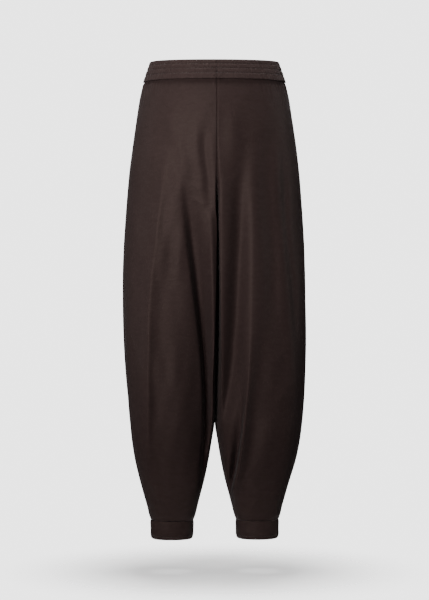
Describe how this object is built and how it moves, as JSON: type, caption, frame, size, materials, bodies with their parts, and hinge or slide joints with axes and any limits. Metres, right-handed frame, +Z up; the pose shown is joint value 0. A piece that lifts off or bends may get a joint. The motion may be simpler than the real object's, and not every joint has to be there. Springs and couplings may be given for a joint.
{
  "type": "barrel-leg trousers",
  "caption": "Women's pull-on trousers in dark satin, hollow as worn: elastic waist, wide legs that curve out and taper to buttonless cuffs.",
  "frame": {"origin": "middle of the waist opening, half way down the waistband", "axes": "+Z up, -Y is the way the wearer faces, +X is the wearer's left"},
  "size_m": [0.3841, 0.2346, 1],
  "materials": {
    "satin": "dark brown crinkled satin, soft sheen outside and duller inside"
  },
  "bodies": {
    "root": {"waistband": "satin", "back_left_panel": "satin", "back_right_panel": "satin", "front_left_panel": "satin", "front_right_panel": "satin", "left_cuff": "satin", "right_cuff": "satin"}
  },
  "joints": []
}
